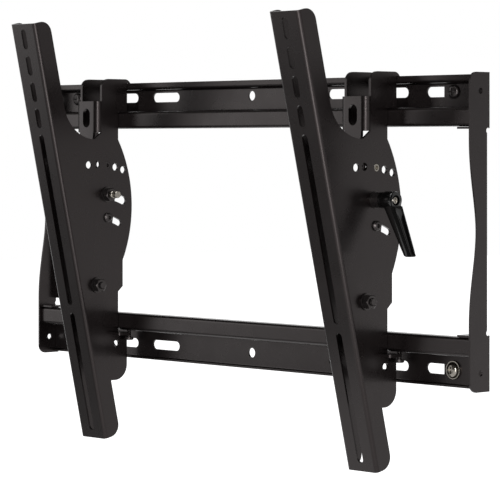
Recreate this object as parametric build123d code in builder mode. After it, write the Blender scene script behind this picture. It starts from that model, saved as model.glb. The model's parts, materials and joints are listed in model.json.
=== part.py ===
from build123d import *
import os
from math import cos, radians, sin

# Tilting wall bracket for a flat screen.
# Frame: +X to the right along the wall, +Z up, the wall at Y = 0 and the screen towards -Y.
# Origin: centre of the wall frame, on the wall plane. All lengths are in millimetres.

# Wall frame
frame_width = 670.0
frame_height = 307.0
sheet = 2.0
rail_height = 51.0
band_depth = 25.0
band_height = 19.0
band_return = 12.0
ledge_depth = 12.0
lip_height = 8.0
foot_depth = 8.0
bend_radius = 1.5
slot_line = 16.5
slot_length = 44.5
slot_width = 10.2
slot_pitch = 69.5
slot_end_inset = 57.5
slots_each_side = 3
centre_hole_radius = 5.2

# End brackets
end_margin = 2.0
end_depth = 28.0
end_waist = 14.7
end_waist_back = 3.6
end_lobe_height = 63.5
end_corner = 9.0
end_tab_length = 58.0
end_tab_overhang = 4.0
end_hole_radius = 3.0
end_hole_inset = 13.0
end_flange_width = 12.0
end_shelf_length = 20.0
end_shelf_back = 8.0
notch_radius = 3.0
frame_screw_inset = 8.0
screw_head_radius = 7.0
screw_head_height = 3.4
screw_flange_radius = 9.5
screw_flange_height = 2.0
frame_screw_radius = 3.0

# Places of the two tilt brackets and how far each leans out at its top
bracket_right = 203.0
bracket_left = -214.0
lean_right = 13.5
lean_left = 12.4
lean_most = 15.0
lean_least = -2.0
lock_step = 5.0
lock_positions = 5

# Hook bracket
hook_sheet = 3.0
hook_width = 37.0
hook_bend_radius = 7.0
hook_top = 4.5
hook_front = 56.0
web_drop = 4.0
web_height = 34.5
web_tab_drop = 8.5
web_tab_width = 23.0
short_drop = 12.0
web_window_rise = 16.0
web_window_width = 12.0
web_window_height = 21.0
tongue_width = 3.0
tongue_drop = 4.5
seat_gap = 0.3
bulge_back = 6.0
mid_back = 18.6
lobe_back = 12.5
lobe_drop = 24.0
lobe_front = 44.0
lobe_corner = 17.0
lobe_hole_depth = 28.0
lobe_hole_radius = 4.0
lift_gap = 2.5
neck_drop = 12.0
neck_front = 60.0
bulge_middle = 30.0
bulge_low = -44.0
step_rise = 29.5
step_fall = 6.0
front_clearance = 8.0
front_bend = 9.0
hook_front_corner = 10.0
hook_back_corner = 8.5
slot_spare = 0.3
latch_tab_length = 12.0
latch_tab_front = 34.0
latch_head_radius = 5.0
latch_head_height = 3.0
latch_travel = 3.0
latch_screw_radius = 2.5

# Pivot and the parts that turn about it
pivot_depth = 58.0
pivot_drop = 70.5
pivot_radius = 4.0
running_gap = 0.06
clear_gap = 0.5
clamp_radius = 101.2
clamp_angle = 5.8
guide_radius = 76.0
guide_angle = 9.1
lock_radius = 133.5
lock_angle = -2.6
lock_hole_radius = 4.0
clamp_bolt_radius = 4.0
guide_screw_radius = 3.0

# Tilt rail
rail_face = 42.0
rail_lip = 22.0
rail_sheet = 2.0
rail_bend = 4.0
rail_up = 299.0
rail_down = 170.0
rail_offset = 25.0
rail_corner = 13.0
rail_slot_width = 8.0
rail_slot_margin = 6.0
rail_slot_gap = 7.3
rail_slot_bridge = 9.0
short_slot = 22.0
short_slots = 4
long_slot = 193.0
ear_top = 157.0
ear_back = 70.0
ear_upper_back = 67.0
ear_stud_span = 22.0
ear_pivot_radius = 14.0
ear_foot = 40.0
ear_corner = 8.0

# Fasteners
washer_thickness = 1.5
nut_height = 6.5
nut_flats = 13.0
stud_length = 11.0
bolt_head_height = 4.0
bolt_head_radius = 7.5
washer_radius = 8.5
thread_end = 2.5
guide_head_radius = 5.2
guide_head_height = 3.2
guide_nut_height = 5.0
guide_nut_flats = 10.0
lock_head_radius = 6.0
lock_head_height = 3.0
ear_lock_holes = 2

# Clamp lever
collar_radius = 7.8
collar_length = 8.0
core_radius = 6.0
bolt_reach = collar_length
hub_radius = 8.2
hub_length = 18.5
hub_socket = 8.5
eye_radius = 9.0
eye_length = 13.0
cap_bore_radius = 5.2
cap_bore_depth = 7.0
arm_drop = 55.0
arm_reach = 29.0
arm_width = 15.0
arm_tip_width = 9.5
arm_thickness = 8.5
arm_ridge = 1.0
lever_screw_radius = 2.0
lever_screw_head = 3.6
lever_screw_height = 2.4
lever_lift = 3.5
arm_root = 14.0

# Worked out from the sizes above
half_width = frame_width / 2
half_height = frame_height / 2
rail_back = sheet
face_front = rail_back + sheet
ledge_top = half_height - lip_height + sheet
slot_z = half_height - slot_line
band_low = half_height - rail_height
band_high = band_low + band_height
pivot_z = -pivot_drop
cheek_out = hook_width / 2
cheek_in = cheek_out - hook_sheet
lip_out = rail_face / 2
lip_in = lip_out - rail_sheet
lean_range = lean_most - lean_least


def tilt_plane(centre, lean, across):
    """Plane of a leaning bracket: x is away from the screen, y is up the rail, across is along X."""
    away = (0, cos(radians(lean)), sin(radians(lean)))
    return Plane(origin=(centre + across, -pivot_depth, pivot_z), x_dir=away, z_dir=(1, 0, 0))


def around_pivot(radius, angle):
    """Point on an arc about the pivot, by its angle from straight up towards the wall."""
    return (radius * sin(radians(angle)), radius * cos(radians(angle)))


def corner(sketch, x, y):
    """Vertex of a sketch nearest to a point of its own plane."""
    return sketch.vertices().sort_by_distance((x, y, 0))[0]


def save(part, name):
    """Label a finished sub-part and write it as its own file."""
    part.label = name
    export_step(part, f"parts/{name}.step")


os.makedirs("parts", exist_ok=True)

# Rails: folded strips with a slotted face at the wall and a band that stands forward of it
rail_half = half_width - sheet - seat_gap
face_mid = -(rail_back + sheet / 2)
ledge_mid = ledge_top - sheet / 2
band_mid = -(band_depth - sheet / 2)
slot_places = [half_width - slot_end_inset - slot_pitch * i for i in range(slots_each_side)]


def make_wall_rail(outer_edge, way, name):
    """Rail of the wall frame, with its band towards the middle: way is 1 at the top, -1 at the bottom."""
    band_fold = [
        (face_mid, way * (band_high - sheet / 2)),
        (band_mid, way * (band_high - sheet / 2)),
        (band_mid, way * (band_low + sheet / 2)),
        (-(band_depth - band_return), way * (band_low + sheet / 2)),
    ]
    with BuildPart() as rail:
        with BuildSketch(Plane.YZ.offset(-rail_half)):
            with BuildLine() as fold:
                FilletPolyline(outer_edge + band_fold, radius=bend_radius + sheet / 2)
            trace(fold.edges(), line_width=sheet)
        extrude(amount=2 * rail_half)
        with BuildSketch(Plane.XZ):
            with Locations((0, way * slot_z)):
                Circle(centre_hole_radius)
            with Locations([(side * place, way * slot_z) for side in (-1, 1) for place in slot_places]):
                SlotOverall(slot_length, slot_width)
        extrude(amount=rail_back + 2 * sheet, mode=Mode.SUBTRACT)
    save(rail.part, name)


# The top rail ends in a ledge with an upright lip, which the hooks hang on
lip_mid = -(ledge_depth - sheet / 2)
make_wall_rail([(lip_mid, half_height), (lip_mid, ledge_mid), (face_mid, ledge_mid)], 1, "top_rail")

# The bottom rail ends in a narrow foot
foot_mid = -(half_height - sheet / 2)
make_wall_rail([(-foot_depth, foot_mid), (face_mid, foot_mid)], -1, "bottom_rail")

# End brackets: waisted plates that stand out from the wall, with a tab behind each rail
lobe_low = half_height - end_lobe_height
notch_z = band_low - end_tab_overhang
frame_screw_x = slot_places[0] + slot_length / 2 - frame_screw_inset
end_high = half_height + end_margin
with BuildPart() as right_end:
    with BuildSketch(Plane.YZ.offset(half_width - sheet)) as end_outline:
        with BuildLine():
            Polyline(
                (-end_depth, lobe_low),
                (-end_depth, end_high),
                (0, end_high),
                (0, notch_z),
                (-end_waist_back, notch_z),
                (-end_waist_back, -notch_z),
                (0, -notch_z),
                (0, -end_high),
                (-end_depth, -end_high),
                (-end_depth, -lobe_low),
            )
            Spline(
                (-end_depth, -lobe_low),
                (-(end_waist + end_waist_back), 0),
                (-end_depth, lobe_low),
                tangents=[(0, 1), (0, 1)],
            )
        make_face()
        fillet(
            [corner(end_outline, -end_depth, end_high), corner(end_outline, -end_depth, -end_high)],
            end_corner,
        )
        with Locations((-end_waist_back / 2, notch_z), (-end_waist_back / 2, -notch_z)):
            Circle(notch_radius, mode=Mode.SUBTRACT)
        with Locations((-end_hole_inset, slot_z), (-end_hole_inset, -slot_z)):
            Circle(end_hole_radius, mode=Mode.SUBTRACT)
    extrude(amount=sheet)
    tab_height = ledge_top - notch_z - 2 * notch_radius
    tab_middle = ledge_top - tab_height / 2
    with BuildSketch(Plane.XZ):
        tab_x = half_width - end_tab_length / 2
        with Locations((tab_x, tab_middle), (tab_x, -tab_middle)):
            Rectangle(end_tab_length, tab_height)
        with Locations((frame_screw_x, slot_z), (frame_screw_x, -slot_z)):
            Circle(frame_screw_radius + running_gap, mode=Mode.SUBTRACT)
    extrude(amount=sheet)
    with BuildSketch(Plane.XZ.offset(end_waist_back)):
        with Locations((half_width - end_flange_width / 2, 0)):
            Rectangle(end_flange_width, 2 * (notch_z - 2 * notch_radius))
    extrude(amount=sheet)
    shelf_depth = band_depth - end_shelf_back
    shelf_low = band_low - seat_gap - sheet
    with BuildSketch(Plane.XY.offset(shelf_low), Plane.XY.offset(-shelf_low - sheet)):
        with Locations((half_width - end_shelf_length / 2, -(band_depth + end_shelf_back) / 2)):
            Rectangle(end_shelf_length, shelf_depth)
    extrude(amount=sheet)
save(right_end.part, "right_end_bracket")

with BuildPart() as left_end:
    add(mirror(right_end.part, about=Plane.YZ, mode=Mode.PRIVATE))
save(left_end.part, "left_end_bracket")

# Four pan head screws hold the rails to the tabs of the end brackets, the lower two with a washer flange
with BuildPart() as frame_screws:
    for screw_z, head_seat in ((slot_z, face_front), (-slot_z, face_front + screw_flange_height)):
        with BuildSketch(Plane.XZ.offset(head_seat)):
            with Locations((frame_screw_x, screw_z), (-frame_screw_x, screw_z)):
                Circle(screw_head_radius)
        extrude(amount=screw_head_height)
        chamfer(frame_screws.edges().group_by(Axis.Y)[0], screw_head_height / 3)
    with BuildSketch(Plane.XZ.offset(face_front)):
        with Locations((frame_screw_x, -slot_z), (-frame_screw_x, -slot_z)):
            Circle(screw_flange_radius)
    extrude(amount=screw_flange_height)
    with BuildSketch(Plane.XZ.offset(face_front)):
        with GridLocations(2 * frame_screw_x, 2 * slot_z, 2, 2):
            Circle(frame_screw_radius)
    extrude(amount=-face_front)
save(frame_screws.part, "frame_screws")

# Hook brackets: a tall cheek with arc slots, a short cheek beside it and a web that joins them
rest_back = -(band_depth + seat_gap)
tongue_front = -(ledge_depth - sheet - clear_gap)
tongue_back = tongue_front + tongue_width
tongue_low = half_height - tongue_drop
throat_top = half_height + seat_gap
hook_high = half_height + hook_top
cheek_front = -(hook_front - hook_bend_radius)
lip_rest = -(ledge_depth + seat_gap)
shelf_rest = band_high + seat_gap
web_low = band_low - web_drop
short_low = web_low - short_drop
neck_low = band_low - neck_drop
step_high = -(band_low - step_rise)
lobe_high = -(band_high + lift_gap)
lobe_low_z = -(half_height + lobe_drop)
front_inset = rail_offset - front_clearance
front_high = pivot_z + front_bend
front_low = pivot_z - front_bend
latch_x = cheek_out + latch_tab_length / 2
latch_y = -(rail_back + sheet + band_depth) / 2
latch_low = lobe_high - hook_sheet


def hook_head(low):
    """Points of the hook from the front of its neck, over the lip, to the back of its neck."""
    return [
        (cheek_front, low),
        (cheek_front, hook_high),
        (tongue_back, hook_high),
        (tongue_back, tongue_low),
        (tongue_front, tongue_low),
        (tongue_front, throat_top),
        (lip_rest, throat_top),
        (lip_rest, shelf_rest),
        (rest_back, shelf_rest),
    ]


def round_hook(sketch):
    """Round the outer corners of a hook."""
    fillet(corner(sketch, cheek_front, hook_high), hook_front_corner)
    fillet(corner(sketch, tongue_back, hook_high), hook_back_corner)


def lean_arc(radius, angle):
    """Path about the pivot that a bolt of the ear follows over the whole lean."""
    swing = lean_range + 2 * slot_spare
    start = 90 - (angle - slot_spare) - swing
    return CenterArc((-pivot_depth, pivot_z), radius, start, swing, mode=Mode.PRIVATE)


# Paths of the clamp bolt and the guide screw, in the y and z of the cheek
clamp_path = lean_arc(clamp_radius, clamp_angle)
guide_path = lean_arc(guide_radius, guide_angle)


def make_hook_bracket(centre, name):
    """Hook bracket that hangs on the wall frame and carries the pivot."""
    with BuildPart() as web:
        with BuildSketch(Plane.XY.offset(web_low)):
            with BuildLine() as bend:
                FilletPolyline(
                    (centre - cheek_out + hook_sheet / 2, cheek_front + hook_sheet),
                    (centre - cheek_out + hook_sheet / 2, -hook_front + hook_sheet / 2),
                    (centre + cheek_out - hook_sheet / 2, -hook_front + hook_sheet / 2),
                    (centre + cheek_out - hook_sheet / 2, cheek_front + hook_sheet),
                    radius=hook_bend_radius - hook_sheet / 2,
                )
            trace(bend.edges(), line_width=hook_sheet)
        extrude(amount=web_height)
        with BuildSketch(Plane.XZ.offset(hook_front - hook_sheet)):
            tab_length = web_tab_drop + web_window_rise
            with Locations((centre, web_low - web_tab_drop + tab_length / 2)):
                SlotOverall(tab_length + web_tab_width / 2, web_tab_width, rotation=90)
        extrude(amount=hook_sheet)
        with BuildSketch(Plane.XZ):
            with Locations((centre, web_low + web_window_rise)):
                SlotOverall(web_window_height, web_window_width, rotation=90)
        extrude(amount=hook_front, mode=Mode.SUBTRACT)
    with BuildPart() as bracket:
        with BuildSketch(Plane.YZ.offset(centre + cheek_in)) as tall:
            with BuildLine():
                Polyline(hook_head(web_low) + [(rest_back, neck_low)])
                ThreePointArc((rest_back, neck_low), (-bulge_back, bulge_middle), (-mid_back, bulge_low))
                Polyline(
                    (-mid_back, bulge_low),
                    (-mid_back, step_high),
                    (rest_back, step_high - step_fall),
                    (rest_back, lobe_high),
                    (-lobe_back, lobe_high),
                    (-lobe_back, lobe_low_z),
                    (-lobe_front, lobe_low_z),
                    (-pivot_depth - front_inset, front_low),
                    (-pivot_depth - front_inset, front_high),
                    (-neck_front, neck_low),
                    (cheek_front, web_low),
                )
            make_face()
            round_hook(tall)
            fillet(corner(tall, -lobe_back, lobe_low_z), lobe_corner)
            fillet(corner(tall, -lobe_front, lobe_low_z), hook_back_corner)
            fillet(corner(tall, -lobe_back, lobe_high), hook_sheet)
        extrude(amount=hook_sheet)
        with BuildSketch(Plane.YZ.offset(centre + cheek_in)):
            with Locations((-pivot_depth, pivot_z)):
                Circle(pivot_radius + running_gap)
            SlotArc(clamp_path, 2 * (clamp_bolt_radius + clear_gap))
            SlotArc(guide_path, 2 * (guide_screw_radius + clear_gap))
            for position in range(lock_positions):
                away, up = around_pivot(lock_radius, lock_angle + lock_step * position)
                with Locations((-pivot_depth + away, pivot_z + up)):
                    Circle(lock_hole_radius)
            with Locations((-lobe_hole_depth, -slot_z)):
                Circle(lobe_hole_radius)
        extrude(amount=hook_sheet, mode=Mode.SUBTRACT)
        with BuildSketch(Plane.YZ.offset(centre - cheek_out)) as short:
            with BuildLine():
                Polyline(hook_head(short_low) + [(rest_back, short_low), (cheek_front, short_low)])
            make_face()
            round_hook(short)
            fillet(corner(short, rest_back, short_low), hook_back_corner)
            fillet(corner(short, cheek_front, short_low), hook_back_corner)
        extrude(amount=hook_sheet)
        add(web.part)
        with BuildSketch(Plane.XY.offset(latch_low)) as tab:
            with BuildLine():
                Polyline(
                    (centre + cheek_in, -latch_tab_front),
                    (centre + cheek_out + latch_tab_length, -latch_tab_front),
                    (centre + cheek_out + latch_tab_length, -lobe_back - hook_sheet),
                    (centre + cheek_in, -lobe_back - hook_sheet),
                    close=True,
                )
            make_face()
            tab_end = centre + cheek_out + latch_tab_length
            fillet([corner(tab, tab_end, -latch_tab_front), corner(tab, tab_end, -lobe_back)], hook_sheet)
            with Locations((centre + latch_x, latch_y)):
                Circle(latch_screw_radius + running_gap, mode=Mode.SUBTRACT)
        extrude(amount=hook_sheet)
    save(bracket.part, name)


# Tilt rails: slotted channels, with an ear on the right lip that reaches back to the pivot
lip_back = rail_lip - rail_offset
flare_radius = ear_upper_back - rail_lip
rail_length = rail_up + rail_down
short_pitch = short_slot + rail_slot_gap
long_top = rail_length - rail_slot_margin - short_slots * short_pitch
last_slot = long_top - long_slot - 2 * rail_slot_bridge


def on_ear(radius, angle):
    """Place of a bolt on the ear, measured from the pivot across and along the rail."""
    return around_pivot(radius, angle + lean_most)


def make_tilt_rail(centre, lean, name):
    """Channel that carries one side of the screen, drawn in its leaning plane."""
    side = tilt_plane(centre, lean, -lip_out)
    middle = tilt_plane(centre, lean, 0)
    foot = middle.origin - middle.x_dir * rail_offset - middle.y_dir * rail_down
    section = Plane(origin=foot, x_dir=(1, 0, 0), z_dir=middle.y_dir)
    face = Plane(origin=foot, x_dir=(1, 0, 0), z_dir=-middle.x_dir)
    stud_away, stud_up = on_ear(clamp_radius, clamp_angle)
    ear_rear = ear_back - rail_offset
    ear_upper = ear_upper_back - rail_offset
    with BuildPart() as rail:
        with BuildSketch(section):
            with BuildLine() as fold:
                FilletPolyline(
                    (-lip_out + rail_sheet / 2, rail_lip),
                    (-lip_out + rail_sheet / 2, rail_sheet / 2),
                    (lip_out - rail_sheet / 2, rail_sheet / 2),
                    (lip_out - rail_sheet / 2, rail_lip),
                    radius=rail_bend - rail_sheet / 2,
                )
            trace(fold.edges(), line_width=rail_sheet)
        extrude(amount=rail_length)
        with BuildSketch(side) as outline:
            with BuildLine():
                Polyline(
                    (-rail_offset, -rail_down),
                    (lip_back, -rail_down),
                    (lip_back, rail_up),
                    (-rail_offset, rail_up),
                    close=True,
                )
            make_face()
            fillet([corner(outline, lip_back, -rail_down), corner(outline, lip_back, rail_up)], rail_corner)
        extrude(amount=rail_face, mode=Mode.INTERSECT)
        with BuildSketch(face):
            for i in range(short_slots):
                top = rail_length - rail_slot_margin - i * short_pitch
                with Locations((0, top - short_slot / 2)):
                    SlotOverall(short_slot, rail_slot_width, rotation=90)
            with Locations((0, long_top - long_slot / 2)):
                SlotOverall(long_slot, rail_slot_width, rotation=90)
            with Locations((0, rail_slot_bridge + last_slot / 2)):
                SlotOverall(last_slot, rail_slot_width, rotation=90)
        extrude(amount=-rail_lip / 2, mode=Mode.SUBTRACT)
        with BuildSketch(tilt_plane(centre, lean, lip_in)) as ear:
            with BuildLine():
                RadiusArc((lip_back, ear_top + flare_radius), (ear_upper, ear_top), -flare_radius)
                Polyline(
                    (ear_upper, ear_top),
                    (ear_upper, stud_up + ear_stud_span),
                    (ear_rear, stud_up + ear_stud_span / 2),
                    (ear_rear, stud_up - ear_stud_span / 2),
                    (ear_pivot_radius, ear_pivot_radius / 2),
                    (ear_pivot_radius, -ear_pivot_radius / 2),
                    (lip_back, -ear_foot),
                    (lip_back - rail_lip / 2, -ear_foot),
                    (lip_back - rail_lip / 2, ear_top + flare_radius),
                    (lip_back, ear_top + flare_radius),
                )
            make_face()
            rounded = [(ear_upper, ear_top), (ear_rear, stud_up + ear_stud_span / 2)]
            rounded += [(ear_rear, stud_up - ear_stud_span / 2), (ear_pivot_radius, -ear_pivot_radius / 2)]
            fillet([corner(ear, *point) for point in rounded], ear_corner)
        extrude(amount=rail_sheet)
        with BuildSketch(tilt_plane(centre, lean, lip_in)):
            with Locations((0, 0)):
                Circle(pivot_radius + running_gap)
            with Locations(on_ear(clamp_radius, clamp_angle)):
                Circle(clamp_bolt_radius + running_gap)
            with Locations(on_ear(guide_radius, guide_angle)):
                Circle(guide_screw_radius + running_gap)
            with Locations([on_ear(lock_radius, lock_angle - lock_step * i) for i in range(ear_lock_holes)]):
                Circle(lock_hole_radius)
        extrude(amount=rail_sheet, mode=Mode.SUBTRACT)
    save(rail.part, name)


# Fasteners about the pivot, drawn on planes across the bracket
def rod(plane, place, radius, start, end):
    """Round rod along X between two distances across a bracket, added to the open part."""
    with BuildSketch(plane.offset(start)) as profile:
        with Locations(place):
            Circle(radius)
    extrude(profile.sketch, amount=end - start)


def ring(plane, place, outer, inner, start, end):
    """Washer along X between two distances across a bracket, added to the open part."""
    with BuildSketch(plane.offset(start)) as profile:
        with Locations(place):
            Circle(outer)
            Circle(inner, mode=Mode.SUBTRACT)
    extrude(profile.sketch, amount=end - start)


def hexagon(plane, place, flats, inner, start, end):
    """Hexagon nut along X between two distances across a bracket, added to the open part."""
    with BuildSketch(plane.offset(start)) as profile:
        with Locations(place):
            RegularPolygon(flats / 2, 6, major_radius=False)
            Circle(inner, mode=Mode.SUBTRACT)
    extrude(profile.sketch, amount=end - start)


def make_pivot(centre, side):
    """Pivot bolt with its washer and nut, held by the hook bracket."""
    plane = Plane.YZ.offset(centre)
    place = (-pivot_depth, pivot_z)
    washer_start = lip_out + seat_gap
    nut_start = washer_start + washer_thickness
    with BuildPart() as bolt:
        rod(plane, place, bolt_head_radius, cheek_in - bolt_head_height, cheek_in)
        chamfer(bolt.edges().group_by(Axis.X)[0], bolt_head_height / 4)
        rod(plane, place, pivot_radius, cheek_in, nut_start + nut_height + thread_end)
    save(bolt.part, f"{side}_pivot_bolt")
    with BuildPart() as washer:
        ring(plane, place, washer_radius, pivot_radius + running_gap, washer_start, nut_start)
    save(washer.part, f"{side}_pivot_washer")
    with BuildPart() as nut:
        hexagon(plane, place, nut_flats, pivot_radius + running_gap, nut_start, nut_start + nut_height)
    save(nut.part, f"{side}_pivot_nut")


def make_clamp_bolt(centre, lean, side, grip):
    """Clamp bolt that runs through the ear, with its head inside the hook bracket."""
    plane = tilt_plane(centre, lean, 0)
    place = on_ear(clamp_radius, clamp_angle)
    head_end = cheek_in - seat_gap
    with BuildPart() as bolt:
        rod(plane, place, bolt_head_radius, head_end - bolt_head_height, head_end)
        chamfer(bolt.edges().group_by(Axis.X)[0], bolt_head_height / 4)
        rod(plane, place, clamp_bolt_radius, head_end, lip_out + washer_thickness + grip)
    save(bolt.part, f"{side}_clamp_bolt")
    with BuildPart() as washer:
        bore = clamp_bolt_radius + running_gap
        ring(plane, place, washer_radius, bore, lip_out, lip_out + washer_thickness)
    save(washer.part, f"{side}_clamp_washer")


def make_guide_screw(centre, lean, side):
    """Button head screw that follows the second arc slot, with its nut inside."""
    plane = tilt_plane(centre, lean, 0)
    place = on_ear(guide_radius, guide_angle)
    nut_end = cheek_in - seat_gap
    nut_start = nut_end - guide_nut_height
    with BuildPart() as screw:
        rod(plane, place, guide_head_radius, lip_out, lip_out + guide_head_height)
        chamfer(screw.edges().group_by(Axis.X)[-1], guide_head_height / 2)
        with BuildSketch(plane.offset(lip_out + guide_head_height)):
            with Locations(place):
                RegularPolygon(guide_screw_radius * 2 / 3, 6, major_radius=False)
        extrude(amount=-guide_head_height / 2, mode=Mode.SUBTRACT)
        rod(plane, place, guide_screw_radius, nut_start, lip_out)
    save(screw.part, f"{side}_guide_screw")
    with BuildPart() as nut:
        hexagon(plane, place, guide_nut_flats, guide_screw_radius + running_gap, nut_start, nut_end)
    save(nut.part, f"{side}_guide_nut")


def make_lock_screw(centre, side):
    """Lock screw kept in the middle lock hole from the inside, flush with the cheek."""
    plane = Plane.YZ.offset(centre)
    away, up = around_pivot(lock_radius, lock_angle + lock_step * (lock_positions // 2))
    place = (-pivot_depth + away, pivot_z + up)
    with BuildPart() as screw:
        rod(plane, place, lock_head_radius, cheek_in - lock_head_height, cheek_in)
        chamfer(screw.edges().group_by(Axis.X)[0], lock_head_height / 3)
        rod(plane, place, lock_hole_radius - running_gap, cheek_in, cheek_out)
    save(screw.part, f"{side}_lock_screw")


def make_latch_screw(centre, side):
    """Upright screw in the tab under the lower band, which keeps the hook from lifting."""
    place = (centre + latch_x, latch_y)
    tip = -(band_high + seat_gap)
    head_top = latch_low - latch_travel
    with BuildPart() as screw:
        with BuildSketch(Plane.XY.offset(head_top)):
            with Locations(place):
                Circle(latch_screw_radius)
        extrude(amount=tip - head_top)
        chamfer(screw.edges().group_by(Axis.Z)[-1], latch_screw_radius / 3)
        with BuildSketch(Plane.XY.offset(head_top)):
            with Locations(place):
                Circle(latch_head_radius)
        extrude(amount=-latch_head_height)
        chamfer(screw.edges().group_by(Axis.Z)[0], latch_head_height / 4)
    save(screw.part, f"{side}_latch_screw")


for side, centre, lean in (("right", bracket_right, lean_right), ("left", bracket_left, lean_left)):
    make_hook_bracket(centre, f"{side}_hook_bracket")
    make_tilt_rail(centre, lean, f"{side}_tilt_rail")
    make_pivot(centre, side)
    make_guide_screw(centre, lean, side)
    make_lock_screw(centre, side)
    make_latch_screw(centre, side)

# Left clamp: a plain nut, with the end of the bolt standing out of it
make_clamp_bolt(bracket_left, lean_left, "left", nut_height + stud_length)
with BuildPart() as clamp_nut:
    hexagon(
        tilt_plane(bracket_left, lean_left, 0),
        on_ear(clamp_radius, clamp_angle),
        nut_flats,
        clamp_bolt_radius + running_gap,
        lip_out + washer_thickness,
        lip_out + washer_thickness + nut_height,
    )
save(clamp_nut.part, "left_clamp_nut")

# Right clamp: a lever that turns the threaded insert, and lifts off its teeth to be set anew
make_clamp_bolt(bracket_right, lean_right, "right", bolt_reach)
lever_plane = Plane.YZ.offset(bracket_right)
lever_away, lever_up = around_pivot(clamp_radius, clamp_angle + lean_most - lean_right)
lever_place = (-pivot_depth + lever_away, pivot_z + lever_up)
collar_start = lip_out + washer_thickness
hub_start = collar_start + collar_length + seat_gap
hub_end = hub_start + hub_length
core_end = hub_start + hub_socket - clear_gap
shoulder_end = hub_end - cap_bore_depth
screw_seat = shoulder_end + lever_lift + seat_gap
with BuildPart() as lever_insert:
    insert_bore = clamp_bolt_radius + running_gap
    bore_end = collar_start + bolt_reach + clear_gap
    ring(lever_plane, lever_place, collar_radius, insert_bore, collar_start, collar_start + collar_length)
    ring(lever_plane, lever_place, core_radius, insert_bore, collar_start, bore_end)
    rod(lever_plane, lever_place, core_radius, bore_end, core_end)
save(lever_insert.part, "right_lever_insert")

with BuildPart() as lever_screw:
    rod(lever_plane, lever_place, lever_screw_radius, core_end, screw_seat)
    rod(lever_plane, lever_place, lever_screw_head, screw_seat, screw_seat + lever_screw_height)
    chamfer(lever_screw.edges().group_by(Axis.X)[-1], lever_screw_height / 3)
save(lever_screw.part, "right_lever_screw")

arm_in = bracket_right + hub_end - arm_root
arm_out = bracket_right + hub_end
arm_low = lever_place[1] - arm_drop
with BuildPart() as lever_arm:
    with BuildSketch(Plane.XZ.offset(-lever_place[0] - arm_width / 2)):
        with BuildLine():
            Polyline(
                (arm_in, lever_place[1]),
                (arm_in + arm_reach, arm_low),
                (arm_in + arm_reach + arm_thickness, arm_low),
                (arm_out, lever_place[1]),
                close=True,
            )
        make_face()
    extrude(amount=arm_width)
    with BuildSketch(Plane.YZ.offset(arm_in)) as taper:
        with BuildLine():
            Polyline(
                (lever_place[0] - arm_width / 2, lever_place[1]),
                (lever_place[0] - arm_tip_width / 2, arm_low),
                (lever_place[0] + arm_tip_width / 2, arm_low),
                (lever_place[0] + arm_width / 2, lever_place[1]),
                close=True,
            )
        make_face()
        lower = [corner(taper, lever_place[0] + way * arm_tip_width / 2, arm_low) for way in (-1, 1)]
        fillet(lower, arm_tip_width / 3)
    extrude(amount=arm_reach + arm_thickness + arm_root, mode=Mode.INTERSECT)

with BuildPart() as lever:
    rod(lever_plane, lever_place, hub_radius, hub_start, hub_end)
    rod(lever_plane, lever_place, eye_radius, hub_end - eye_length, hub_end)
    chamfer(lever.edges().group_by(Axis.X)[-1], arm_ridge)
    add(lever_arm.part)
    ring_cut = ((core_radius + running_gap, hub_start, hub_start + hub_socket),
                (lever_screw_radius + running_gap, hub_start, hub_end),
                (cap_bore_radius, shoulder_end, hub_end))
    for radius, start, end in ring_cut:
        with BuildSketch(lever_plane.offset(start)):
            with Locations(lever_place):
                Circle(radius)
        extrude(amount=end - start, mode=Mode.SUBTRACT)
save(lever.part, "right_lever")
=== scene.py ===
"""Tilting wall bracket for a flat screen: finishes, fastener detail, studio and camera."""

import json
import logging
import math
from dataclasses import dataclass
from enum import Enum

import bmesh
import bpy
from mathutils import Matrix, Vector

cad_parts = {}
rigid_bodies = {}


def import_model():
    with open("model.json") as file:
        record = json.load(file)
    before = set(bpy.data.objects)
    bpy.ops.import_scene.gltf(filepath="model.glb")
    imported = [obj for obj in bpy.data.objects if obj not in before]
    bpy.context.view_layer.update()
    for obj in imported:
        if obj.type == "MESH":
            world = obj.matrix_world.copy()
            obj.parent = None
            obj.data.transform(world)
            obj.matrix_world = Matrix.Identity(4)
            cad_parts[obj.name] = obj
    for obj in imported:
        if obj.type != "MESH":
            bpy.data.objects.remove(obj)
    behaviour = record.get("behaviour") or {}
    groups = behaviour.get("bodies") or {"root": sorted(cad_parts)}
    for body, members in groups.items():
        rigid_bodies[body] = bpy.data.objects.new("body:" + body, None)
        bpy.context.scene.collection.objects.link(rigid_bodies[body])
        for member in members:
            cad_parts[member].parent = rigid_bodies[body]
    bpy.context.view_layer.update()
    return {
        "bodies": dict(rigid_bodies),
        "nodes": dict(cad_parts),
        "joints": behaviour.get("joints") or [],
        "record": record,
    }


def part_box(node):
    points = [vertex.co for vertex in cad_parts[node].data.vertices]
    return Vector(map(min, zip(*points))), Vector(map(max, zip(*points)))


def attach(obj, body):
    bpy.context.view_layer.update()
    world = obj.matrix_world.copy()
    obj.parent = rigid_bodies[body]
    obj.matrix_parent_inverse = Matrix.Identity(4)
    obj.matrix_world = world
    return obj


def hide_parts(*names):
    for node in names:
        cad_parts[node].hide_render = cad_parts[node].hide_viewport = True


LOG = logging.getLogger("wall_bracket")

MM = 0.001
TURN = 2 * math.pi
# Width of the picture in pixels, which the camera's focal length and shift refer to
IMAGE_WIDTH = 500
# How far a cutting tool runs past the face that it cuts, in millimetres
OVERRUN = 1.0
# Faces round a small turned piece, a larger one and the lever's hub
SMALL_ROUND, LARGE_ROUND, HUB_ROUND = 40, 48, 56
# Smallest angle of a hard edge on a turned piece and on a wound thread, in degrees
TURNED_EDGE, THREAD_EDGE = 35.0, 50.0
# Noise behind the patches and behind the grains of a finish
PATCH_NOISE = {"Detail": 3.0, "Roughness": 0.6}
GRAIN_NOISE = {"Detail": 2.0, "Roughness": 0.5}
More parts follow.
